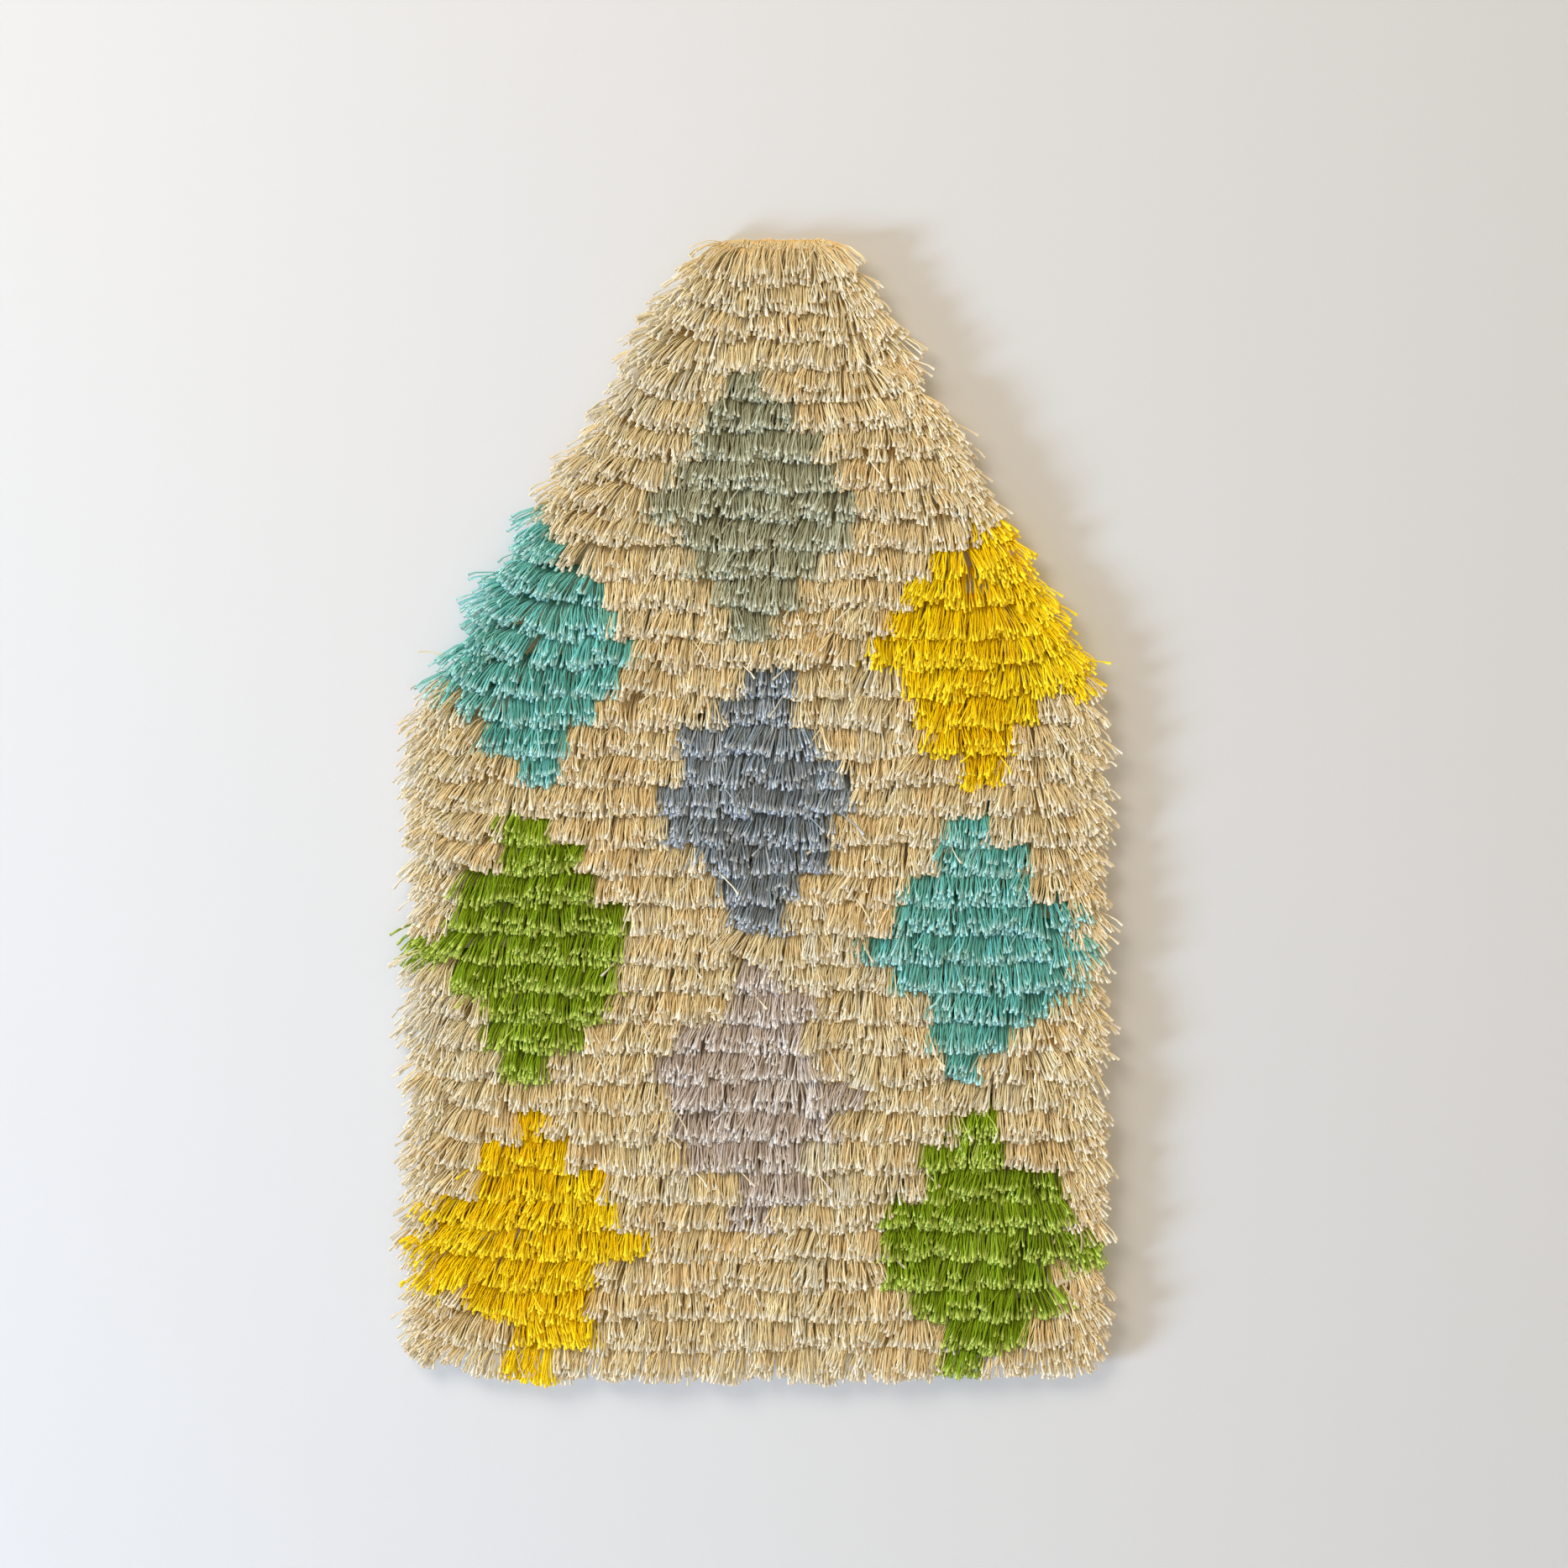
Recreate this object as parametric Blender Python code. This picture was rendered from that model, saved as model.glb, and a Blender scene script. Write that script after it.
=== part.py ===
"""Shaggy wall rug: overlapping courses of cut yarn tufts on a flat ground cloth.

The rug hangs flat on a wall. X is right, Z is up and the pile faces -Y. The wall plane is Y = 0,
and the origin is the middle of the cloth's top edge on that plane. All lengths are in metres.
"""
import math

import bmesh
import bpy
from mathutils import Vector, noise

# Outline of the pile slab, without the locks at its rim
TOP_HALF_WIDTH = 0.051
LEFT_SIDE_X = -0.301
RIGHT_SIDE_X = 0.268
LEFT_SHOULDER_Z = -0.405
RIGHT_SHOULDER_Z = -0.385
SHOULDER_ROUNDING = 0.035   # height over which a sloping side turns into an upright one

# Courses of tufts, laid over each other like shingles
COURSES = 38
COURSE_PITCH = 0.0256
PILE_TOP_Z = -0.002
COURSE_OVERLAP = 0.0055     # how far a course's cut ends hang over the next course's roots
COLUMNS = 24

# Depth of the pile in front of the wall plane
ROOT_DEPTH = 0.0125
BELLY_DEPTH = 0.0205
TIP_DEPTH = 0.0245
RIM_DEPTH_SHARE = 0.80      # the pile thins out towards its sides
RIM_BAND = 0.020
BELLY_DROP = 0.45           # share of the pitch between a course's roots and its belly
LUMP_SIZE = 0.055
LUMP_DEPTH = 0.0062
TUFT_SIZE = 0.014
TUFT_DEPTH = 0.0046
RIM_LUMP_SHARE = 0.45
EDGE_WANDER = 0.0078        # how unevenly a course's cut ends hang
RIM_STEP = 0.0012           # at the rim a course ends this far above the next one's roots

# Locks that stand out from the rim, each one tuft
LOCK_GAP = 0.0013
LOCK_TAPER = 0.73           # from each end of a lock's two lengths to the next
LOCK_DROOP = 0.20           # how much more its outer half hangs
LOCK_DEPTH_SHARE = 0.62
LEFT_LOCK = {"length": 0.030, "lean_deg": 52.0}
RIGHT_LOCK = {"length": 0.026, "lean_deg": 45.0}
BOTTOM_LOCK = {"length": 0.019, "lean_deg": 4.0}
SLOPE_LEAN_DEG = 15.0       # further lean of the locks along a sloping side
LENGTH_SPREAD = 0.70
LEAN_SPREAD_DEG = 13.0
LEAN_WAVE = 0.070           # height over which neighbouring locks keep to one lean
STEP_LIMIT = 0.004          # a rim face shorter than this is the step under a course, with no lock

# Ground cloth that the tufts are knotted on
CLOTH_THICKNESS = 0.002
CLOTH_GAP = 0.0003
CLOTH_INSET = 0.007
CLOTH_BOTTOM_Z = -0.966

CREAM = (0.60, 0.47, 0.26)
CANVAS = (0.55, 0.47, 0.34)


def clear_scene():
    for old in list(bpy.data.objects):
        bpy.data.objects.remove(old, do_unlink=True)


def yarn_material(name, colour, roughness):
    material = bpy.data.materials.new(name)
    material.use_nodes = True
    shader = material.node_tree.nodes["Principled BSDF"]
    shader.inputs["Base Color"].default_value = (*colour, 1.0)
    shader.inputs["Roughness"].default_value = roughness
    shader.inputs["Metallic"].default_value = 0.0
    return material


def eased(share):
    """Smooth rise from 0 to 1."""
    share = min(max(share, 0.0), 1.0)
    return share * share * (3.0 - 2.0 * share)


def uprightness(z, shoulder_z):
    """0 along a sloping side, 1 along an upright one."""
    return eased((shoulder_z + SHOULDER_ROUNDING - z) / (2 * SHOULDER_ROUNDING))


def side_x(z, side_at, shoulder_z, top_at):
    """Where one side of the slab runs at height z: sloping, then upright."""
    slope = (side_at - top_at) / shoulder_z
    upright = uprightness(z, shoulder_z)
    return (top_at + slope * z) * (1.0 - upright) + side_at * upright


def left_x(z):
    return side_x(z, LEFT_SIDE_X, LEFT_SHOULDER_Z, -TOP_HALF_WIDTH)


def right_x(z):
    return side_x(z, RIGHT_SIDE_X, RIGHT_SHOULDER_Z, TOP_HALF_WIDTH)


def lump(x, z, size, seed):
    """Smooth unevenness between about -1 and 1."""
    return noise.noise(Vector((x / size, seed, z / size)))


def course_row(row):
    """Height, depth and kind of one row of the slab's front points, counted from the top."""
    course, step = divmod(row, 3)
    top = PILE_TOP_Z - course * COURSE_PITCH
    if step == 0:
        return top, ROOT_DEPTH, "root"
    if step == 1:
        return top - BELLY_DROP * COURSE_PITCH, BELLY_DEPTH, "belly"
    return top - COURSE_PITCH, TIP_DEPTH, "tip"


def front_point(row, column):
    """Place of one point of the pile's front, from the course it lies in."""
    z, depth, kind = course_row(row)
    share = column / COLUMNS
    x = left_x(z) + (right_x(z) - left_x(z)) * share
    inward = min(x - left_x(z), right_x(z) - x)
    inner = eased(inward / RIM_BAND)
    last_row = row == COURSES * 3 - 1
    depth *= RIM_DEPTH_SHARE + (1.0 - RIM_DEPTH_SHARE) * inner
    if row > 0:
        lumps = LUMP_DEPTH * lump(x, z, LUMP_SIZE, 1.7) + TUFT_DEPTH * lump(x, z, TUFT_SIZE, 5.3)
        depth += lumps * (RIM_LUMP_SHARE + (1.0 - RIM_LUMP_SHARE) * inner)
    if kind == "tip":
        wander = EDGE_WANDER * lump(x, z, TUFT_SIZE * 1.6, 9.1)
        if last_row:
            z += wander
        else:
            z += RIM_STEP * (1.0 - inner) - (COURSE_OVERLAP - wander) * inner
    return Vector((x, -depth, z))


def lock_heading(middle, lock):
    """Unit vector along a lock: down, and out by its side's lean."""
    out = -1.0 if middle.x < 0.5 * (left_x(middle.z) + right_x(middle.z)) else 1.0
    lean = lock["lean_deg"] + LEAN_SPREAD_DEG * noise.noise(Vector((out, 7.0, middle.z / LEAN_WAVE)))
    if lock is not BOTTOM_LOCK:
        lean += SLOPE_LEAN_DEG * (1.0 - uprightness(middle.z, LEFT_SHOULDER_Z))
    return Vector((out * math.sin(math.radians(lean)), 0.0, -math.cos(math.radians(lean))))


def grow_lock(bm, face, lock, number):
    """Draw one tapering lock of yarn out of a rim face, from a root narrower than the face."""
    bmesh.ops.inset_individual(bm, faces=[face], thickness=LOCK_GAP, use_even_offset=True)
    root = face.calc_center_median()
    depths = [abs(v.co.y) for v in face.verts]
    shift = 0.12 * (max(depths) - min(depths)) * noise.noise(Vector((number * 0.73, 2.0, 0.0)))
    for vert in face.verts:
        vert.co.y = root.y + shift + (vert.co.y - root.y) * LOCK_DEPTH_SHARE
    heading = lock_heading(root, lock)
    length = lock["length"] * (1.0 + LENGTH_SPREAD * noise.noise(Vector((number * 0.87, 4.0, 0.0))))
    for droop in (0.0, LOCK_DROOP):
        grown = bmesh.ops.extrude_discrete_faces(bm, faces=[face])
        face = grown["faces"][0]
        along = (heading + Vector((0.0, 0.0, -droop))).normalized() * (length / 2)
        centre = face.calc_center_median()
        for vert in face.verts:
            vert.co = centre + (vert.co - centre) * LOCK_TAPER + along


def rim_lock(face):
    """Which kind of lock a rim face carries, or None on the top edge and on a course's step."""
    normal = face.normal
    heights = [v.co.z for v in face.verts]
    if normal.z < -0.75:
        return BOTTOM_LOCK
    if normal.z > 0.90 or max(heights) - min(heights) < STEP_LIMIT:
        return None
    return LEFT_LOCK if normal.x < 0 else RIGHT_LOCK


def make_pile():
    """One lumpy slab: saw-tooth courses in front, flat behind, locks round its rim."""
    rows = COURSES * 3
    bm = bmesh.new()
    bmesh.ops.create_grid(bm, x_segments=COLUMNS, y_segments=rows - 1, size=0.5)
    for vert in bm.verts:
        column = round((vert.co.x + 0.5) * COLUMNS)
        row = round((0.5 - vert.co.y) * (rows - 1))
        vert.co = front_point(row, column)

    rim_edges = [edge for edge in bm.edges if edge.is_boundary]
    grown = bmesh.ops.extrude_edge_only(bm, edges=rim_edges)["geom"]
    back_verts = [item for item in grown if isinstance(item, bmesh.types.BMVert)]
    for vert in back_verts:
        vert.co.y = -(CLOTH_THICKNESS + CLOTH_GAP)
    bmesh.ops.holes_fill(bm, edges=[edge for edge in bm.edges if edge.is_boundary], sides=0)
    bmesh.ops.recalc_face_normals(bm, faces=bm.faces)

    lowest = [edge for edge in bm.edges if is_bottom_edge(edge)]
    bmesh.ops.subdivide_edges(bm, edges=lowest, cuts=1, use_grid_fill=True)
    bm.normal_update()

    rim = [face for face in bm.faces if is_rim_face(face)]
    for number, face in enumerate(sorted(rim, key=lambda f: tuple(f.calc_center_median()))):
        lock = rim_lock(face)
        if lock:
            grow_lock(bm, face, lock, number)
    bmesh.ops.recalc_face_normals(bm, faces=bm.faces)
    return mesh_object("pile", bm, yarn_material("cream_yarn", CREAM, 0.85))


def is_bottom_edge(edge):
    """The slab's lowest edges, on the last course's tips and on the back below them."""
    bottom = PILE_TOP_Z - COURSES * COURSE_PITCH + 1.5 * EDGE_WANDER
    lateral = abs(edge.verts[0].co.x - edge.verts[1].co.x)
    return lateral > STEP_LIMIT and all(v.co.z < bottom for v in edge.verts)


def is_rim_face(face):
    """A wall face, with two corners on the flat back and two in front of it."""
    back = -(CLOTH_THICKNESS + CLOTH_GAP)
    on_back = [abs(v.co.y - back) < 1e-5 for v in face.verts]
    return len(on_back) == 4 and sum(on_back) == 2


def mesh_object(name, bm, material):
    mesh = bpy.data.meshes.new(name)
    bm.to_mesh(mesh)
    bm.free()
    mesh.materials.append(material)
    rug = bpy.data.objects.new(name, mesh)
    parts.objects.link(rug)
    return rug


def make_ground_cloth():
    """Flat cloth cut to the rug's outline, a little smaller than its pile."""
    heights = [0.0, LEFT_SHOULDER_Z + SHOULDER_ROUNDING, LEFT_SHOULDER_Z,
               LEFT_SHOULDER_Z - SHOULDER_ROUNDING, CLOTH_BOTTOM_Z]
    left = [(left_x(z) + CLOTH_INSET, z) for z in heights]
    right = [(right_x(z) - CLOTH_INSET, z) for z in reversed(heights)]
    curve = bpy.data.curves.new("ground_cloth", "CURVE")
    curve.dimensions = "2D"
    curve.fill_mode = "BOTH"
    curve.extrude = CLOTH_THICKNESS / 2
    outline = curve.splines.new("POLY")
    outline.points.add(len(left + right) - 1)
    for point, (x, z) in zip(outline.points, left + right):
        point.co = (x, z, 0.0, 1.0)
    outline.use_cyclic_u = True
    cloth = bpy.data.objects.new("ground_cloth", curve)
    cloth.rotation_euler = (math.radians(90), 0.0, 0.0)
    cloth.location = (0.0, -CLOTH_THICKNESS / 2, 0.0)
    curve.materials.append(yarn_material("canvas", CANVAS, 0.9))
    parts.objects.link(cloth)
    return cloth


clear_scene()
parts = bpy.data.collections.new("wall_rug")
bpy.context.scene.collection.children.link(parts)
make_ground_cloth()
make_pile()
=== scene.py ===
import math
import random

import bmesh
import bpy
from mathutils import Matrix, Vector, noise


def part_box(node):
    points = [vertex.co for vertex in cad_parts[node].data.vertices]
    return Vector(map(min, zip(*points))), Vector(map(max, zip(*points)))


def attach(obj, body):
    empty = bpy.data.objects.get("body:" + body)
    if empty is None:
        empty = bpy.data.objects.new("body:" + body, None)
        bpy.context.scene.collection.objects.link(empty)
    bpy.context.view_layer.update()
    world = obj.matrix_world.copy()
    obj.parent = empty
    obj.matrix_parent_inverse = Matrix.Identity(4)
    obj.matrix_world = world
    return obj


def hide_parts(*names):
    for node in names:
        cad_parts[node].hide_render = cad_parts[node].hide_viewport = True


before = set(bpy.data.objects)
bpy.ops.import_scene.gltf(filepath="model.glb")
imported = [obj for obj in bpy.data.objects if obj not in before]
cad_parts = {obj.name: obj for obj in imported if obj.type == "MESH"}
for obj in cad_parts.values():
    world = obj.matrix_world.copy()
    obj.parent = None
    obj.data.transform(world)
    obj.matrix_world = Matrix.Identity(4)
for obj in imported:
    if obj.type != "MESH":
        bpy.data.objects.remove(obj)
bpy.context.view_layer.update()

pileLow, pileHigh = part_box("pile")
clothLow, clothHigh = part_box("ground_cloth")

# Shaggy wall rug: cut yarn tufts knotted in courses on a flat ground cloth, pile towards -Y.
# Everything is in metres, with the origin at the middle of the cloth's top edge on the wall.

rug = {
    "courses": 38,
    "pitch": 0.0256,             # from one course of knots to the next
    "firstKnotZ": -0.0020,
    "topHalfWidth": 0.046,       # of the knotted field, which is a little smaller than the cloth
    "leftX": clothLow.x,
    "rightX": clothHigh.x,
    "leftShoulderZ": -0.405,
    "rightShoulderZ": -0.385,
    "rounding": 0.035,
    "fieldInset": 0.004,
    "knotPitch": 0.0063,
    "clothFrontY": clothLow.y,
    "bindingInsets": (0.0, 0.0035, 0.007),       # of the knots between the courses at both sides
    "topBindingZ": -0.0004,
    "knotJitterX": 0.0008,
    "knotJitterZ": 0.0012,
    "creamBands": [15, 23, 30, 38],      # the ground is cut into pieces at these courses
}

tuft = {
    "yarns": 16,                 # cut ends in one tuft
    "yarnRadius": 0.00053,
    "cutFlare": 1.6,             # how much wider the frayed cut end is, as a share added to the radius
    "flarePower": 13.0,          # how close to the cut end it widens
    "steps": 4,
    "tipBias": 1.55,             # gathers the strand's points towards the cut end
    "drop": 0.0390,              # from the knot down to the cut ends
    "dropSpread": 0.08,          # from tuft to tuft
    "dropWaver": 0.13,           # slower changes from place to place
    "dropWaverSize": 0.02,
    "cutSpread": 0.055,          # from yarn to yarn
    "split": 0.30,               # the most that a tuft's front yarns end above its back ones
    "rise": 0.0215,              # from the cloth out to the cut ends
    "riseSpread": 0.15,
    "riseWaver": 0.28,
    "riseWaverSize": 0.045,
    "mostRise": 1.28,            # no tuft stands out more than this, as a share of rise
    "waist": 0.0016,             # half width of the front yarns at the knot
    "backWaist": 0.0036,         # added to that for the yarns behind them
    "backWidth": 0.35,           # how much thicker those are, as a share of the radius
    "layers": 0.42,              # how much further out the front yarns lie than the back ones
    "midLayer": 0.6,             # the yarn, from back to front, that has the tuft's own rise
    "arch": 2.3,                 # how soon a yarn reaches its full rise
    "firstTurn": 1.14,           # share of its lean that a yarn starts with
    "droop": -0.24,              # and what is added to that by its end, where it hangs straighter
    "splay": 0.15,               # how far the outer yarns of a tuft turn away from its middle, in radians
    "edgeSplay": 0.38,
    "tangle": 0.095,
    "wave": 0.0020,
    "waveLength": 5.2,           # along one yarn, in radians
    "waveDepth": 0.8,            # share of the wave that goes out from the cloth
    "strays": 0.992,             # beyond this chance a yarn sticks out of its tuft
    "strayTurn": 0.8,
    "strayRise": 0.12,
    "strayTone": 0.4,
    "selvageDrop": 0.011,        # of the short ends along the top edge
    "selvageRise": 0.007,
    "rimWidth": 0.03,            # tufts this near to a side are less even
    "rimDropSpread": 0.14,
    "rimRise": 0.10,             # how much lower they lie
    "firstSeed": 100,
    "seedStep": 17,              # from one piece to the next
}

# How light a tuft's yarn is, from 0 to 1
tone = {
    "middle": 0.5,
    "tuftWaver": 0.45,
    "tuftWaverSize": 0.012,
    "broadWaver": 0.35,
    "broadWaverSize": 0.08,
    "spread": 0.16,
    "yarnSpread": 0.16,
    "leftPaintedLight": 0.16,            # painted light: the side towards the window lamp is lighter
    "leftPaintedLightReach": 0.08,
}

comb = {
    "leftLean": math.radians(48),        # of the outermost tufts on the upright sides
    "rightLean": math.radians(32),
    "slopeLean": math.radians(10),       # more than that on the sloping sides
    "slopeEase": 0.08,
    "leftReach": 0.075,                  # how far in from the side the pile leans that way
    "rightReach": 0.055,
    "reachShare": 0.27,                  # and at most this share of the width there
    "bias": math.radians(-9),            # the whole pile hangs slightly to the left
    "drift": math.radians(19),           # slow changes from place to place
    "driftSize": 0.045,
    "wild": math.radians(6),             # from one tuft to the next
    "rimWild": math.radians(5),          # added to that at the sides
    "wildSpread": 0.7,
    "clump": math.radians(9),            # neighbours that close up to each other
    "clumpSize": 0.013,
    "cowlick": math.radians(96),         # a few patches turn further
    "cowlickFrom": 0.40,
    "cowlickSize": 0.050,
}

# Where each slow change starts in the noise
waverSeeds = {"drift": 3.3, "clump": 6.1, "cowlick": 8.8, "rise": 7.7, "drop": 5.2,
              "tone": 9.4, "broadTone": 0.4}

# Plain lozenges of coloured tufts in a regular half-drop order
lozenges = {
    "halfWidth": 0.088,
    "halfCourses": 5,
    "period": 10,
    "edgeJitter": 0.006,
    "knotJitter": 0.002,
    "columns": [
        {"name": "left", "centreX": -0.206, "firstCentre": 13, "colours": ["turquoise", "green", "yellow"]},
        {"name": "middle", "centreX": -0.016, "firstCentre": 8, "colours": ["sage", "blueGrey", "lightGrey"]},
        {"name": "right", "centreX": 0.174, "firstCentre": 13, "colours": ["yellow", "turquoise", "green"]},
    ],
}

# Each yarn's colours: deep, a painted shade colour for the roots deep in the pile, the grooves between the
# plies and the very cut end, which also darkens the darker-toned yarns; along the strand; and at the lighter
# cut end (0 to 255)
yarnColours = {
    "cream": {"deep": (247, 211, 132), "strand": (245, 237, 202), "cut": (230, 233, 230)},
    "yellow": {"deep": (255, 200, 0), "strand": (255, 236, 0), "cut": (255, 244, 64)},
    "lightGrey": {"deep": (190, 172, 156), "strand": (229, 218, 210), "cut": (244, 242, 240)},
    "sage": {"deep": (140, 140, 106), "strand": (201, 203, 176), "cut": (236, 238, 224)},
    "blueGrey": {"deep": (94, 104, 112), "strand": (168, 180, 190), "cut": (232, 238, 246)},
    "green": {"deep": (86, 112, 0), "strand": (164, 196, 34), "cut": (230, 242, 134)},
    "turquoise": {"deep": (48, 144, 136), "strand": (140, 224, 218), "cut": (220, 250, 250)},
}


def linear(colour):
    shares = [c / 255 for c in colour]
    return tuple(s / 12.92 if s <= 0.04045 else ((s + 0.055) / 1.055) ** 2.4 for s in shares) + (1.0,)


def eased(share):
    share = min(max(share, 0.0), 1.0)
    return share * share * (3 - 2 * share)


def sideAt(z, sideX, shoulderZ, topX):
    upright = eased((shoulderZ + rug["rounding"] - z) / (2 * rug["rounding"]))
    sloping = topX + (sideX - topX) * z / shoulderZ
    return sloping * (1 - upright) + sideX * upright


def leftAt(z):
    return sideAt(z, rug["leftX"], rug["leftShoulderZ"], -rug["topHalfWidth"]) + rug["fieldInset"]


def rightAt(z):
    return sideAt(z, rug["rightX"], rug["rightShoulderZ"], rug["topHalfWidth"]) - rug["fieldInset"]


def wander(x, z, size, what):
    return noise.noise(Vector((x / size, waverSeeds[what], z / size)))


# Uneven edges of the lozenges, course by course
courseShifts = [0.4, -0.7, 0.2, 0.9, -0.3, -0.9, 0.6, 0.0, -0.5, 0.8, -0.1]


def lozengeAt(course, x, rng):
    # The lozenge that a tuft belongs to, as (name, colour), or the cream ground
    for column in lozenges["columns"]:
        row = math.floor((course - column["firstCentre"]) / lozenges["period"] + 0.5)
        if not 0 <= row < len(column["colours"]):
            continue
        away = abs(course - column["firstCentre"] - row * lozenges["period"])
        half = lozenges["halfWidth"] * (1 - away / lozenges["halfCourses"])
        shift = lozenges["edgeJitter"] * courseShifts[course % len(courseShifts)] * (1 + row)
        if half <= 0:
            continue
        jitter = rng.uniform(-lozenges["knotJitter"], lozenges["knotJitter"])
        if abs(x - column["centreX"] - shift) < half + jitter:
            return f"{column['name']}{row + 1}", column["colours"][row]
    return "ground", "cream"


def leanAt(x, z, rng):
    # How far a tuft at this place leans to the right of straight down, in radians
    most = comb["reachShare"] * (rightAt(z) - leftAt(z))
    toLeft = eased(1 - (x - leftAt(z)) / min(comb["leftReach"], most))
    toRight = eased(1 - (rightAt(z) - x) / min(comb["rightReach"], most))
    lean = comb["bias"] * (1 - toLeft) * (1 - toRight)
    lean += comb["drift"] * wander(x, z, comb["driftSize"], "drift")
    lean += comb["clump"] * wander(x, z, comb["clumpSize"], "clump")
    lick = wander(x, z, comb["cowlickSize"], "cowlick")
    if abs(lick) > comb["cowlickFrom"]:
        lean += comb["cowlick"] * (lick - math.copysign(comb["cowlickFrom"], lick))
    slope = comb["slopeLean"] * eased((z - rug["leftShoulderZ"]) / comb["slopeEase"])
    lean += (comb["wild"] + comb["rimWild"] * max(toLeft, toRight)) * rng.gauss(0, comb["wildSpread"])
    return lean - (comb["leftLean"] + slope) * toLeft + (comb["rightLean"] + slope) * toRight


def layTuft(pieces, course, x, z, rng, short=False):
    block, colour = lozengeAt(course, x, rng)
    band = sum(course >= end for end in rug["creamBands"])
    name = f"creamPile{band + 1}" if block == "ground" else f"{colour}Pile{block.capitalize()}"
    fromLeft, fromRight = x - leftAt(z), rightAt(z) - x
    rim = max(eased(1 - fromLeft / tuft["rimWidth"]), eased(1 - fromRight / tuft["rimWidth"]))
    # Painted light: tufts near the left side, towards the window lamp, are lighter
    pale = tone["leftPaintedLight"] * eased(1 - fromLeft / tone["leftPaintedLightReach"])
    rise = 1 + tuft["riseWaver"] * wander(x, z, tuft["riseWaverSize"], "rise")
    rise += tuft["riseSpread"] * rng.uniform(-1, 1)
    drop = 1 + tuft["dropWaver"] * wander(x, z, tuft["dropWaverSize"], "drop")
    drop += tuft["dropSpread"] * rng.uniform(-1, 1)
    placeX = x + rug["knotJitterX"] * rng.uniform(-1, 1)
    placeZ = z + rug["knotJitterZ"] * rng.uniform(-1, 1)
    lean = leanAt(x, z, rng)
    rimDrop = 1 + tuft["rimDropSpread"] * rim * rng.uniform(-1, 1)
    rimRise = 1 - tuft["rimRise"] * rim
    split = tuft["split"] * max(0.0, rng.uniform(-0.3, 1.0))       # about a quarter of the tufts have none
    light = tone["middle"] + pale + tone["tuftWaver"] * wander(x, z, tone["tuftWaverSize"], "tone")
    light += tone["broadWaver"] * wander(x, z, tone["broadWaverSize"], "broadTone")
    light += tone["spread"] * rng.uniform(-1, 1)
    pieces.setdefault((name, colour), []).append({
        "place": (placeX, rug["clothFrontY"], placeZ),
        "lean": lean,
        "drop": tuft["selvageDrop" if short else "drop"] * drop * rimDrop,
        "rise": tuft["selvageRise" if short else "rise"] * min(rise, tuft["mostRise"]) * rimRise,
        "split": split,
        "splay": tuft["splay"] + (tuft["edgeSplay"] - tuft["splay"]) * rim,
        "tone": light,
    })


def layTufts():
    # Every tuft of the rug, gathered by the piece that it belongs to
    rng = random.Random(11)
    pieces = {}
    for course in range(rug["courses"]):
        z = rug["firstKnotZ"] - course * rug["pitch"]
        width = rightAt(z) - leftAt(z)
        count = max(2, round(width / rug["knotPitch"]))
        for number in range(count + 1):
            layTuft(pieces, course, leftAt(z) + width * number / count, z, rng)
            if course == 0:      # short ends along the top edge
                between = leftAt(z) + width * (number + 0.5) / (count + 1)
                layTuft(pieces, course, between, rug["topBindingZ"], rng, short=True)
        middle = z - rug["pitch"] / 2
        if course < rug["courses"] - 1:      # binding knots along both sides, between the courses
            for inset in rug["bindingInsets"]:
                layTuft(pieces, course, leftAt(middle) + inset, middle, rng)
                layTuft(pieces, course, rightAt(middle) - inset, middle, rng)
    print("knots:", sum(len(knots) for knots in pieces.values()))
    return pieces


def addNode(tree, kind, values=None, **settings):
    made = tree.nodes.new(kind)
    for key, value in settings.items():
        setattr(made, key, value)
    for key, value in (values or {}).items():
        if isinstance(value, bpy.types.NodeSocket):
            tree.links.new(value, made.inputs[key])
        else:
            made.inputs[key].default_value = value
    return made


def maths(tree, operation, first, second=0.0, third=None):
    values = {0: first, 1: second}
    if third is not None:
        values[2] = third
    return addNode(tree, "ShaderNodeMath", values, operation=operation).outputs[0]


def readValue(tree, name, dataType="FLOAT"):
    read = addNode(tree, "GeometryNodeInputNamedAttribute", {"Name": name}, data_type=dataType)
    return read.outputs["Attribute"]


def keepValue(tree, geometry, name, value, dataType="FLOAT", domain="POINT"):
    stored = addNode(tree, "GeometryNodeStoreNamedAttribute", {"Geometry": geometry, "Name": name},
                     data_type=dataType, domain=domain)
    tree.links.new(value, stored.inputs["Value"])
    return stored.outputs["Geometry"]


def chance(tree, low, high, seed):
    return addNode(tree, "FunctionNodeRandomValue", {2: low, 3: high, "Seed": seed},
                   data_type="FLOAT").outputs[1]


knotBar = {
    "halfSize": (0.0030, 0.0011, 0.0018),
    "behind": 0.0012,            # from the cloth's front to the bar's middle
}


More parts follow.
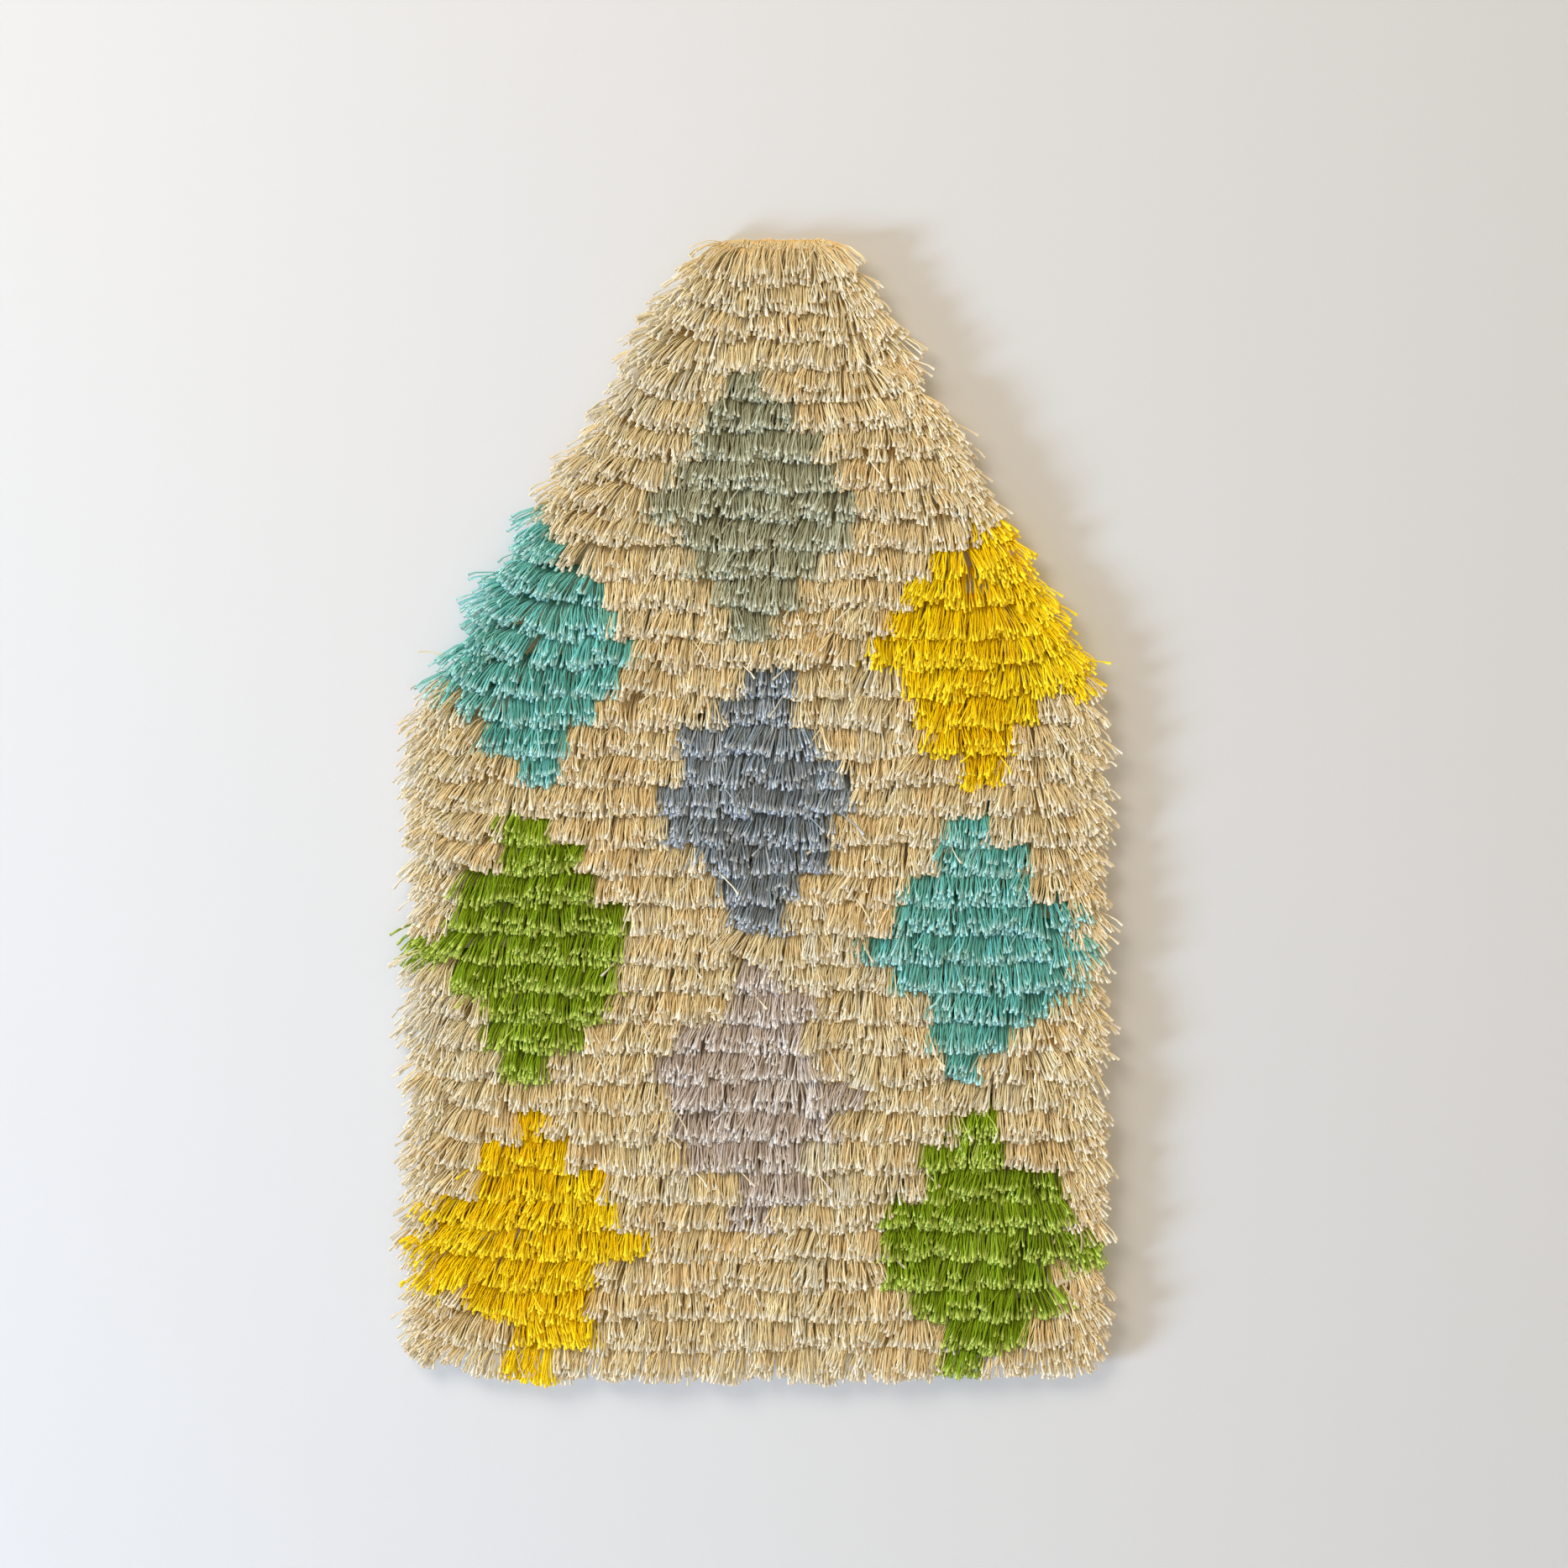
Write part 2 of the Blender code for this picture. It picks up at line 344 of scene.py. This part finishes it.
def buildTuftTree():
    # Geometry Nodes: each point becomes a tuft of cut yarns in front and a knot's bar behind
    tree = bpy.data.node_groups.new("knottedTufts", "GeometryNodeTree")
    sockets = tree.interface
    sockets.new_socket("Knots", in_out="INPUT", socket_type="NodeSocketGeometry")
    for name, key, kind in (
        ("Yarns", "yarns", "Int"), ("Steps", "steps", "Int"), ("Tip Bias", "tipBias", "Float"),
        ("Yarn Radius", "yarnRadius", "Float"), ("Cut Flare", "cutFlare", "Float"),
        ("Tangle", "tangle", "Float"), ("Waist", "waist", "Float"),
        ("Back Waist", "backWaist", "Float"), ("Back Width", "backWidth", "Float"),
        ("Layers", "layers", "Float"), ("Cut Spread", "cutSpread", "Float"), ("Wave", "wave", "Float"),
        ("Strays", "strays", "Float"), ("Stray Turn", "strayTurn", "Float"), ("Seed", "firstSeed", "Int"),
    ):
        sockets.new_socket(name, in_out="INPUT", socket_type="NodeSocket" + kind).default_value = tuft[key]
    sockets.new_socket("Yarn", in_out="INPUT", socket_type="NodeSocketMaterial")
    sockets.new_socket("Tufts", in_out="OUTPUT", socket_type="NodeSocketGeometry")
    given = tree.nodes.new("NodeGroupInput").outputs
    seed = given["Seed"]

    points = addNode(tree, "GeometryNodeMeshToPoints", {"Mesh": given["Knots"]}).outputs["Points"]
    here = addNode(tree, "GeometryNodeInputPosition").outputs[0]
    points = keepValue(tree, points, "root", here, "FLOAT_VECTOR")

    # One point for each yarn, with its own place in the tuft
    yarns = addNode(tree, "GeometryNodeDuplicateElements",
                    {"Geometry": points, "Amount": given["Yarns"]}, domain="POINT")
    order = maths(tree, "DIVIDE", maths(tree, "ADD", yarns.outputs["Duplicate Index"], 0.5), given["Yarns"])
    spots = keepValue(tree, yarns.outputs["Geometry"], "layer", order)
    for name, low, high, step in (
        ("across", -1.0, 1.0, 11), ("turn", -1.0, 1.0, 23), ("cutAt", -1.0, 1.0, 37),
        ("phase", 0.0, 6.28, 53), ("hue", -1.0, 1.0, 71), ("stray", 0.0, 1.0, 97),
    ):
        spots = keepValue(tree, spots, name, chance(tree, low, high, maths(tree, "ADD", seed, step)))

    line = addNode(tree, "GeometryNodeCurvePrimitiveLine", {"End": (0.0, 0.0, -1.0)}).outputs["Curve"]
    strand = addNode(tree, "GeometryNodeResampleCurve",
                     {"Curve": line, "Count": given["Steps"]}).outputs[0]
    placed = addNode(tree, "GeometryNodeInstanceOnPoints",
                     {"Points": spots, "Instance": strand}).outputs[0]
    strands = addNode(tree, "GeometryNodeRealizeInstances", {"Geometry": placed}).outputs[0]

    # Which way each yarn turns, and how far it reaches
    even = addNode(tree, "GeometryNodeSplineParameter").outputs["Factor"]
    left = maths(tree, "POWER", maths(tree, "SUBTRACT", 1.0, even), given["Tip Bias"])
    strands = keepValue(tree, strands, "along", maths(tree, "SUBTRACT", 1.0, left))
    along = readValue(tree, "along")
    loose = maths(tree, "GREATER_THAN", readValue(tree, "stray"), given["Strays"])
    across = readValue(tree, "across")
    opening = maths(tree, "MULTIPLY_ADD", loose, given["Stray Turn"], readValue(tree, "splay"))
    angle = maths(tree, "MULTIPLY_ADD", across, opening, readValue(tree, "lean"))
    angle = maths(tree, "MULTIPLY_ADD", readValue(tree, "turn"), given["Tangle"], angle)
    front = maths(tree, "GREATER_THAN", readValue(tree, "layer"), 0.5)
    shorter = maths(tree, "MULTIPLY", front, readValue(tree, "split"))
    length = maths(tree, "MULTIPLY_ADD", readValue(tree, "cutAt"), given["Cut Spread"], 1.0)
    length = maths(tree, "SUBTRACT", length, shorter)
    reach = maths(tree, "MULTIPLY", maths(tree, "MULTIPLY", readValue(tree, "drop"), length), along)
    bend = maths(tree, "MULTIPLY_ADD", along, tuft["droop"], tuft["firstTurn"])
    turned = maths(tree, "MULTIPLY", angle, bend)
    ripple = maths(tree, "MULTIPLY_ADD", along, tuft["waveLength"], readValue(tree, "phase"))
    ripple = maths(tree, "SINE", ripple)
    ripple = maths(tree, "MULTIPLY", maths(tree, "MULTIPLY", ripple, given["Wave"]), along)
    sideways = maths(tree, "MULTIPLY", reach, maths(tree, "SINE", turned))
    behind = maths(tree, "SUBTRACT", 1.0, readValue(tree, "layer"))
    waist = maths(tree, "MULTIPLY_ADD", behind, given["Back Waist"], given["Waist"])
    sideways = maths(tree, "MULTIPLY_ADD", across, waist, sideways)
    sideways = maths(tree, "ADD", sideways, ripple)
    down = maths(tree, "MULTIPLY", reach, maths(tree, "COSINE", turned))
    arch = maths(tree, "POWER", maths(tree, "SUBTRACT", 1.0, along), tuft["arch"])
    arch = maths(tree, "SUBTRACT", 1.0, arch)
    depth = maths(tree, "MULTIPLY_ADD", maths(tree, "SUBTRACT", readValue(tree, "layer"), tuft["midLayer"]),
                  given["Layers"], 1.0)
    depth = maths(tree, "MULTIPLY_ADD", loose, tuft["strayRise"], depth)
    depth = maths(tree, "MULTIPLY", maths(tree, "MULTIPLY", readValue(tree, "rise"), depth), arch)
    depth = maths(tree, "ADD", depth, maths(tree, "MULTIPLY", ripple, tuft["waveDepth"]))
    shift = addNode(tree, "ShaderNodeCombineXYZ", {0: sideways, 1: maths(tree, "MULTIPLY", depth, -1.0),
                                                  2: maths(tree, "MULTIPLY", down, -1.0)}).outputs[0]
    place = addNode(tree, "ShaderNodeVectorMath", {0: readValue(tree, "root", "FLOAT_VECTOR"), 1: shift},
                    operation="ADD").outputs[0]
    strands = addNode(tree, "GeometryNodeSetPosition", {"Geometry": strands, "Position": place}).outputs[0]
    flare = maths(tree, "MULTIPLY", maths(tree, "POWER", along, tuft["flarePower"]), given["Cut Flare"])
    flare = maths(tree, "MULTIPLY_ADD", behind, given["Back Width"], flare)
    strands = addNode(tree, "GeometryNodeSetCurveRadius",
                      {"Curve": strands, "Radius": maths(tree, "ADD", flare, 1.0)}).outputs[0]
    strands = addNode(tree, "GeometryNodeSetCurveTilt",
                      {"Curve": strands, "Tilt": readValue(tree, "phase")}).outputs[0]

    # Tubes along them, and the place of each point in the yarn's colours
    ring = addNode(tree, "GeometryNodeCurvePrimitiveCircle",
                   {"Resolution": 3, "Radius": given["Yarn Radius"]}).outputs["Curve"]
    ring = keepValue(tree, ring, "around", addNode(tree, "GeometryNodeSplineParameter").outputs["Factor"])
    thickness = addNode(tree, "GeometryNodeInputRadius").outputs[0]
    tubes = addNode(tree, "GeometryNodeCurveToMesh", {"Curve": strands, "Profile Curve": ring,
                                                      "Scale": thickness, "Fill Caps": True}).outputs["Mesh"]
    light = maths(tree, "MULTIPLY_ADD", readValue(tree, "hue"), tone["yarnSpread"], readValue(tree, "tone"))
    light = maths(tree, "MULTIPLY_ADD", loose, tuft["strayTone"], light)
    toneMap = addNode(tree, "ShaderNodeMapRange", {0: light, 1: 0.0, 2: 1.0, 3: 0.04, 4: 0.92}).outputs[0]
    lookU = maths(tree, "MULTIPLY_ADD", readValue(tree, "around"), 0.03, toneMap)
    lookV = maths(tree, "MULTIPLY_ADD", readValue(tree, "along"), 0.94, 0.03)
    look = addNode(tree, "ShaderNodeCombineXYZ", {0: lookU, 1: lookV}).outputs[0]
    tubes = keepValue(tree, tubes, "OFBake", look, "FLOAT2", "CORNER")

    # The bar of each knot on the back of the cloth
    bead = addNode(tree, "GeometryNodeMeshUVSphere",
                   {"Segments": 4, "Rings": 2, "Radius": 1.0}).outputs["Mesh"]
    local = addNode(tree, "GeometryNodeInputPosition").outputs[0]
    bead = keepValue(tree, bead, "bar", local, "FLOAT_VECTOR")
    bars = addNode(tree, "GeometryNodeInstanceOnPoints",
                   {"Points": points, "Instance": bead, "Scale": knotBar["halfSize"]}).outputs[0]
    bars = addNode(tree, "GeometryNodeRealizeInstances", {"Geometry": bars}).outputs[0]
    bars = addNode(tree, "GeometryNodeSetPosition",
                   {"Geometry": bars, "Offset": (0.0, knotBar["behind"], 0.0)}).outputs[0]
    parted = addNode(tree, "ShaderNodeSeparateXYZ", {0: readValue(tree, "bar", "FLOAT_VECTOR")}).outputs
    barTone = addNode(tree, "ShaderNodeMapRange", {0: readValue(tree, "tone"), 3: 0.06, 4: 0.92}).outputs[0]
    barU = maths(tree, "MULTIPLY_ADD", parted[0], 0.02, barTone)
    barV = maths(tree, "MULTIPLY_ADD", parted[2], 0.05, 0.60)
    barLook = addNode(tree, "ShaderNodeCombineXYZ", {0: barU, 1: barV}).outputs[0]
    bars = keepValue(tree, bars, "OFBake", barLook, "FLOAT2", "CORNER")

    both = tree.nodes.new("GeometryNodeJoinGeometry")
    tree.links.new(bars, both.inputs[0])
    tree.links.new(tubes, both.inputs[0])
    whole = addNode(tree, "GeometryNodeRealizeInstances", {"Geometry": both.outputs[0]}).outputs[0]
    smooth = addNode(tree, "GeometryNodeSetShadeSmooth",
                     {"Geometry": whole, "Shade Smooth": True}).outputs[0]
    dressed = addNode(tree, "GeometryNodeSetMaterial",
                      {"Geometry": smooth, "Material": given["Yarn"]}).outputs[0]
    result = tree.nodes.new("NodeGroupOutput")
    tree.links.new(dressed, result.inputs["Tufts"])
    return tree


# Where the yarn's looks change: along it, from the knot at 0 to the cut end at 1, and with its tone
yarnFinish = {
    "rootShadeEnds": 0.44,            # the painted shade of the deep colour at the roots has gone from here
    "leastStrand": 0.50,         # share of the strand's colour in the darkest yarns
    "cutFrom": 0.78,
    "cutFull": 0.95,
    "cutShare": 0.75,
    # Painted shade on the very cut end and its cap
    "capShadeFrom": 0.955,
    "capShadeFull": 0.968,
    "capShadeShare": 0.8,
    "twists": 2.5,               # of the plies along a cut yarn
    "grooveShadeShare": 0.40,
    "grooveShadeTint": (0.90, 0.68, 0.48, 1.0),
    "roughness": 0.55,
    "cutRoughness": 0.25,        # more than that at the cut end
    "grooveRoughness": 0.12,
    "sheen": 0.4,
    "specular": 0.2,
}


def buildYarnGroup():
    group = bpy.data.node_groups.new("yarnColour", "ShaderNodeTree")
    for name, kind in (("Tone", "NodeSocketFloat"), ("Along", "NodeSocketFloat"), ("Deep", "NodeSocketColor"),
                       ("Strand", "NodeSocketColor"), ("Cut", "NodeSocketColor")):
        group.interface.new_socket(name, in_out="INPUT", socket_type=kind)
    group.interface.new_socket("Color", in_out="OUTPUT", socket_type="NodeSocketColor")
    group.interface.new_socket("Roughness", in_out="OUTPUT", socket_type="NodeSocketFloat")
    given = group.nodes.new("NodeGroupInput").outputs

    def blend(share, first, second):
        mixed = addNode(group, "ShaderNodeMix", {0: share, 6: first, 7: second}, data_type="RGBA")
        return mixed.outputs[2]

    def ramp(value, start, end, low, high, kind="LINEAR"):
        return addNode(group, "ShaderNodeMapRange", {0: value, 1: start, 2: end, 3: low, 4: high},
                       interpolation_type=kind).outputs[0]

    look = yarnFinish
    toneShare = ramp(given["Tone"], 0.05, 0.75, look["leastStrand"], 1.0)
    body = blend(toneShare, given["Deep"], given["Strand"])
    # Painted shade: the roots, deep in the pile, take the deep colour
    body = blend(ramp(given["Along"], 0.0, look["rootShadeEnds"], 0.0, 1.0, "SMOOTHSTEP"), given["Deep"], body)
    body = blend(ramp(given["Tone"], 0.72, 0.98, 0.0, 0.7), body, given["Cut"])      # the lightest yarns
    cutShare = ramp(given["Along"], look["cutFrom"], look["cutFull"], 0.0, look["cutShare"], "SMOOTHSTEP")
    body = blend(cutShare, body, given["Cut"])
    # Painted shade in the grooves between the twisted plies: the deep colour, darkened further
    aroundIt = maths(group, "MULTIPLY", given["Tone"], 133 * math.tau)
    twist = maths(group, "MULTIPLY_ADD", given["Along"], look["twists"] * math.tau, aroundIt)
    twist = maths(group, "SINE", twist)
    groove = maths(group, "POWER", maths(group, "MULTIPLY_ADD", twist, 0.5, 0.5), 3.0)
    shaded = addNode(group, "ShaderNodeMix", {0: 1.0, 6: given["Deep"], 7: look["grooveShadeTint"]},
                     data_type="RGBA", blend_type="MULTIPLY").outputs[2]
    body = blend(maths(group, "MULTIPLY", groove, look["grooveShadeShare"]), body, shaded)      # painted shade between the plies
    capShadeShare = ramp(given["Along"], look["capShadeFrom"], look["capShadeFull"], 0.0, look["capShadeShare"])
    body = blend(capShadeShare, body, given["Deep"])       # painted shade: the deep colour on the very cut end, where the fibres are seen end on
    rough = maths(group, "MULTIPLY_ADD", cutShare, look["cutRoughness"], look["roughness"])
    rough = maths(group, "MULTIPLY_ADD", groove, look["grooveRoughness"], rough)
    result = group.nodes.new("NodeGroupOutput")
    group.links.new(body, result.inputs["Color"])
    group.links.new(rough, result.inputs["Roughness"])       # the frayed cut end is the dullest
    return group


def makeYarnMaterial(name, colours, group):
    material = bpy.data.materials.new(name)
    material.use_nodes = True
    tree = material.node_tree
    shader = tree.nodes["Principled BSDF"]
    look = addNode(tree, "ShaderNodeUVMap", uv_map="OFBake").outputs[0]
    parted = addNode(tree, "ShaderNodeSeparateXYZ", {0: look}).outputs
    colour = addNode(tree, "ShaderNodeGroup", node_tree=group)
    tree.links.new(parted[0], colour.inputs["Tone"])
    tree.links.new(parted[1], colour.inputs["Along"])
    for part in ("deep", "strand", "cut"):
        colour.inputs[part.capitalize()].default_value = linear(colours[part])
    tree.links.new(colour.outputs["Color"], shader.inputs["Base Color"])
    tree.links.new(colour.outputs["Roughness"], shader.inputs["Roughness"])
    shader.inputs["Specular IOR Level"].default_value = yarnFinish["specular"]
    shader.inputs["Diffuse Roughness"].default_value = 1.0
    shader.inputs["Sheen Weight"].default_value = yarnFinish["sheen"]
    shader.inputs["Sheen Roughness"].default_value = 0.4
    shader.inputs["Sheen Tint"].default_value = linear(colours["strand"])
    return material


def makePile(pieceKnots, tree, group):
    materials = {c: makeYarnMaterial(c + "Yarn", yarnColours[c], group) for c in yarnColours}
    made = []
    total = 0
    inputs = {item.name: item.identifier for item in tree.interface.items_tree if item.in_out == "INPUT"}
    for number, ((name, colour), knots) in enumerate(sorted(pieceKnots.items())):
        seedMesh = bpy.data.meshes.new(name + "Knots")
        seedMesh.from_pydata([k["place"] for k in knots], [], [])
        for key in ("lean", "drop", "rise", "split", "splay", "tone"):
            values = seedMesh.attributes.new(key, "FLOAT", "POINT")
            values.data.foreach_set("value", [k[key] for k in knots])
        seedObject = bpy.data.objects.new(name + "Knots", seedMesh)
        bpy.context.scene.collection.objects.link(seedObject)
        tufting = seedObject.modifiers.new("tufts", "NODES")
        tufting.node_group = tree
        tufting[inputs["Seed"]] = tuft["firstSeed"] + number * tuft["seedStep"]
        tufting[inputs["Yarn"]] = materials[colour]
        graph = bpy.context.evaluated_depsgraph_get()
        mesh = bpy.data.meshes.new_from_object(seedObject.evaluated_get(graph))
        mesh.name = name
        for spare in ("root", "layer", "across", "turn", "cutAt", "phase", "hue", "stray", "lean", "drop",
                      "rise", "split", "splay", "tone", "along", "around", "bar"):
            if spare in mesh.attributes:
                mesh.attributes.remove(mesh.attributes[spare])
        bpy.data.objects.remove(seedObject)
        bpy.data.meshes.remove(seedMesh)
        pile = bpy.data.objects.new(name, mesh)
        bpy.context.scene.collection.objects.link(pile)
        faces = sum(len(p.vertices) - 2 for p in mesh.polygons)
        total += faces
        print(f"pile: {name}, {len(knots)} tufts, {faces} triangles")
        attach(pile, "root")
        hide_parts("pile")
        made.append(pile)
    print("pile in all:", total, "triangles")
    return made


cloth = {
    "rows": 50,
    "columns": 24,
    "thickness": 0.0011,
    "threadPitch": 0.0017,
    "back": 0.0010,              # how far its back lies in front of the wall
    # The canvas's own flecks and a painted shade in the weave's hollows run between these two
    "shade": (188, 168, 128),
    "light": (236, 222, 188),
    "fleckScale": 420.0,
    "weaveDepth": 0.0004,
    "roughness": 0.85,
}


def makeClothMaterial():
    material = bpy.data.materials.new("groundCanvas")
    material.use_nodes = True
    tree = material.node_tree
    shader = tree.nodes["Principled BSDF"]
    place = addNode(tree, "ShaderNodeTexCoord").outputs["Object"]
    scaled = addNode(tree, "ShaderNodeVectorMath", {0: place, 3: 6.2832 / cloth["threadPitch"]},
                     operation="SCALE").outputs[0]
    parted = addNode(tree, "ShaderNodeSeparateXYZ", {0: scaled}).outputs
    warp = maths(tree, "SINE", parted[0])
    weft = maths(tree, "SINE", parted[2])
    weave = maths(tree, "MULTIPLY", warp, weft)
    height = maths(tree, "MULTIPLY_ADD", weave, 0.5, 0.5)
    flecks = addNode(tree, "ShaderNodeTexNoise",
                     {"Vector": place, "Scale": cloth["fleckScale"], "Detail": 3.0}).outputs[0]
    # The flecks are the canvas's own colour; the weave's share is painted shade, darker in its hollows
    share = maths(tree, "MULTIPLY_ADD", flecks, 0.6, maths(tree, "MULTIPLY", height, 0.4))
    colour = addNode(tree, "ShaderNodeMix", {0: share, 6: linear(cloth["shade"]), 7: linear(cloth["light"])},
                     data_type="RGBA").outputs[2]
    bump = addNode(tree, "ShaderNodeBump",
                   {"Height": height, "Strength": 0.5, "Distance": cloth["weaveDepth"]}).outputs[0]
    tree.links.new(colour, shader.inputs["Base Color"])
    tree.links.new(bump, shader.inputs["Normal"])
    shader.inputs["Roughness"].default_value = cloth["roughness"]
    return material


def makeGroundCloth():
    bottom = clothLow.z
    heights = [bottom * n / cloth["rows"] for n in range(cloth["rows"] + 1)]
    bm = bmesh.new()
    columns = cloth["columns"]
    rows = []
    for z in heights:
        left = sideAt(z, rug["leftX"], rug["leftShoulderZ"], -rug["topHalfWidth"])
        right = sideAt(z, rug["rightX"], rug["rightShoulderZ"], rug["topHalfWidth"])
        rows.append([bm.verts.new((left + (right - left) * c / columns, -cloth["back"], z))
                     for c in range(columns + 1)])
    for upper, lower in zip(rows, rows[1:]):
        for c in range(columns):
            bm.faces.new((upper[c], upper[c + 1], lower[c + 1], lower[c]))
    area = sum(f.calc_area() for f in bm.faces)
    bmesh.ops.recalc_face_normals(bm, faces=bm.faces)
    if bm.faces[:][0].normal.y > 0:
        bmesh.ops.reverse_faces(bm, faces=bm.faces[:])
    mesh = bpy.data.meshes.new("groundCloth")
    bm.to_mesh(mesh)
    bm.free()
    mesh.materials.append(makeClothMaterial())
    sheet = bpy.data.objects.new("groundCloth", mesh)
    bpy.context.scene.collection.objects.link(sheet)
    thick = sheet.modifiers.new("thickness", "SOLIDIFY")
    thick.thickness = cloth["thickness"]
    thick.offset = 1.0
    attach(sheet, "root")
    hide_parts("ground_cloth")
    print("ground cloth:", round(area, 4), "square metres")
    return sheet


stage = {
    "wallColour": (208, 206, 206),
    "floorColour": (218, 223, 234),
    "floorZ": -3.2,
    "wallY": 0.0006,
    "half": 3.2,
    "floorHalf": 40.0,
}


def makeStage():
    wallMaterial = bpy.data.materials.new("paleWall")
    wallMaterial.use_nodes = True
    tree = wallMaterial.node_tree
    shader = tree.nodes["Principled BSDF"]
    shader.inputs["Base Color"].default_value = linear(stage["wallColour"])
    shader.inputs["Roughness"].default_value = 0.9
    # Seen from behind, the wall is clear, and it casts no shadow
    behind = addNode(tree, "ShaderNodeNewGeometry").outputs["Backfacing"]
    shadow = addNode(tree, "ShaderNodeLightPath").outputs["Is Shadow Ray"]
    clear = tree.nodes.new("ShaderNodeBsdfTransparent")
    mixed = tree.nodes.new("ShaderNodeMixShader")
    tree.links.new(maths(tree, "MAXIMUM", behind, shadow), mixed.inputs[0])
    tree.links.new(shader.outputs[0], mixed.inputs[1])
    tree.links.new(clear.outputs[0], mixed.inputs[2])
    tree.links.new(mixed.outputs[0], tree.nodes["Material Output"].inputs["Surface"])

    floorMaterial = bpy.data.materials.new("paleFloor")
    floorMaterial.use_nodes = True
    floorShader = floorMaterial.node_tree.nodes["Principled BSDF"]
    floorShader.inputs["Base Color"].default_value = linear(stage["floorColour"])
    floorShader.inputs["Roughness"].default_value = 0.8

    half, wide, y, z = stage["half"], stage["floorHalf"], stage["wallY"], stage["floorZ"]
    top = z + 2 * half
    wallCorners = [(-half, y, z), (half, y, z), (half, y, top), (-half, y, top)]
    floorCorners = [(-wide, -wide, z), (wide, -wide, z), (wide, wide, z), (-wide, wide, z)]
    for name, corners, material in (
        ("wallBackdrop", wallCorners, wallMaterial),
        ("floor", floorCorners, floorMaterial),
    ):
        mesh = bpy.data.meshes.new(name)
        mesh.from_pydata(corners, [], [(0, 1, 2, 3)])
        mesh.materials.append(material)
        made = bpy.data.objects.new(name, mesh)
        bpy.context.scene.collection.objects.link(made)
    print("stage: wall and floor")


camera = {
    "centre": (0.006, -0.474),       # what the middle of the picture looks at, X and Z
    "field": 1.368,                  # width of the picture at the wall
    "lens": 60.0,
    "sensor": 36.0,
}


def aim(thing, target):
    direction = Vector(target) - thing.location
    thing.rotation_euler = direction.to_track_quat("-Z", "Y").to_euler()


def placeCamera():
    data = bpy.data.cameras.new("camera")
    data.lens = camera["lens"]
    data.sensor_width = camera["sensor"]
    eye = bpy.data.objects.new("camera", data)
    distance = camera["field"] * camera["lens"] / camera["sensor"]
    eye.location = (camera["centre"][0], -distance, camera["centre"][1])
    aim(eye, (camera["centre"][0], 0.0, camera["centre"][1]))
    bpy.context.scene.collection.objects.link(eye)
    bpy.context.scene.camera = eye
    print("camera:", round(distance, 3), "m from the wall")


lamps = [
    {"name": "window", "at": (-4.6, -1.95, -2.45), "size": 1.3, "power": 343.0, "colour": (0.54, 0.74, 1.0)},
    {"name": "backFill", "at": (1.2, 2.8, 0.8), "size": 1.6, "power": 55.0, "colour": (1.0, 0.985, 0.96)},
    {"name": "frontFill", "at": (0.6, -3.4, -0.9), "size": 2.0, "power": 15.0, "colour": (1.0, 0.82, 0.56)},
    {"name": "upperFill", "at": (-1.6, -2.6, 1.3), "size": 1.8, "power": 64.0, "colour": (1.0, 0.93, 0.82)},
]
room = {
    "colour": (1.0, 0.87, 0.63),         # warm light from all round
    "strength": 0.50,
    "seen": (0.72, 0.715, 0.70),         # pale backdrop
}


def placeLights():
    for lamp in lamps:
        data = bpy.data.lights.new(lamp["name"], "AREA")
        data.shape = "DISK"
        data.size = lamp["size"]
        data.energy = lamp["power"]
        data.color = lamp["colour"]
        made = bpy.data.objects.new(lamp["name"], data)
        made.location = lamp["at"]
        aim(made, (0.0, 0.0, -0.5))
        bpy.context.scene.collection.objects.link(made)
    world = bpy.data.worlds.new("softRoom")
    world.use_nodes = True
    tree = world.node_tree
    glow = tree.nodes["Background"]
    glow.inputs[0].default_value = room["colour"] + (1.0,)
    glow.inputs[1].default_value = room["strength"]
    backdrop = addNode(tree, "ShaderNodeBackground", {0: room["seen"] + (1.0,), 1: 1.0})
    seen = addNode(tree, "ShaderNodeLightPath").outputs["Is Camera Ray"]
    mixed = addNode(tree, "ShaderNodeMixShader", {0: seen, 1: glow.outputs[0], 2: backdrop.outputs[0]})
    tree.links.new(mixed.outputs[0], tree.nodes["World Output"].inputs["Surface"])
    bpy.context.scene.world = world
    bpy.context.scene.view_settings.view_transform = "Standard"
    print("lights:", len(lamps))


placeCamera()
placeLights()
makeStage()
pilePieces = makePile(layTufts(), buildTuftTree(), buildYarnGroup())
makeGroundCloth()
